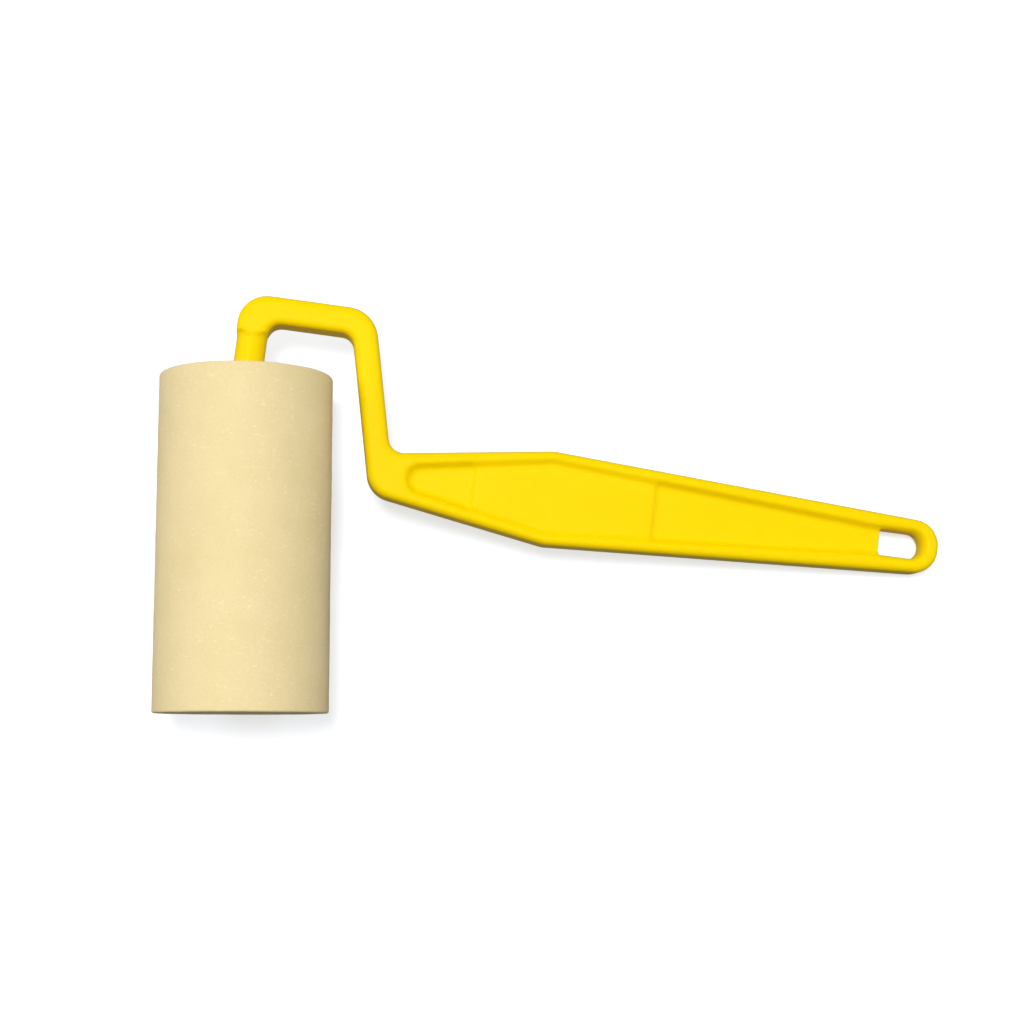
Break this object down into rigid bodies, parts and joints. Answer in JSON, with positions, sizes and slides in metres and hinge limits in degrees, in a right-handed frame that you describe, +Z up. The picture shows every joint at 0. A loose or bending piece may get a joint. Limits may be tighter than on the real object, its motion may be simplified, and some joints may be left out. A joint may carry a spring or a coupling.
{
  "type": "paint roller",
  "caption": "Small paint roller: a foam sleeve turning on the axle of a moulded plastic frame with a crook arm, a flat rimmed handle and a hang hole.",
  "frame": {"origin": "on the resting surface, under the middle of the whole object's box", "axes": "+X from the sleeve towards the end of the handle, +Y along the axle towards the crook arm, +Z up from the surface it lies on"},
  "size_m": [0.2281, 0.1206, 0.05],
  "materials": {
    "yellow_moulding": "injection-moulded polypropylene, satin gloss",
    "sleeve_foam": "open-cell polyurethane foam, matt",
    "white_plastic": "extruded polypropylene tube, matt",
    "bush_plastic": "moulded acetal, satin",
    "spring_steel": "plain stamped spring steel"
  },
  "bodies": {
    "frame": {"frame": "yellow_moulding", "axle_retainer": "spring_steel"},
    "roller": {"foam_sleeve": "sleeve_foam", "core_tube": "white_plastic", "arm_side_bush": "bush_plastic", "outer_bush": "bush_plastic", "end_cap": "yellow_moulding"}
  },
  "joints": [
    {"name": "roller_spin", "type": "hinge", "parent": "frame", "child": "roller", "pos_m": [-0.08906, -0.01181, 0.025], "axis": [0, 1, 0], "continuous": true}
  ]
}
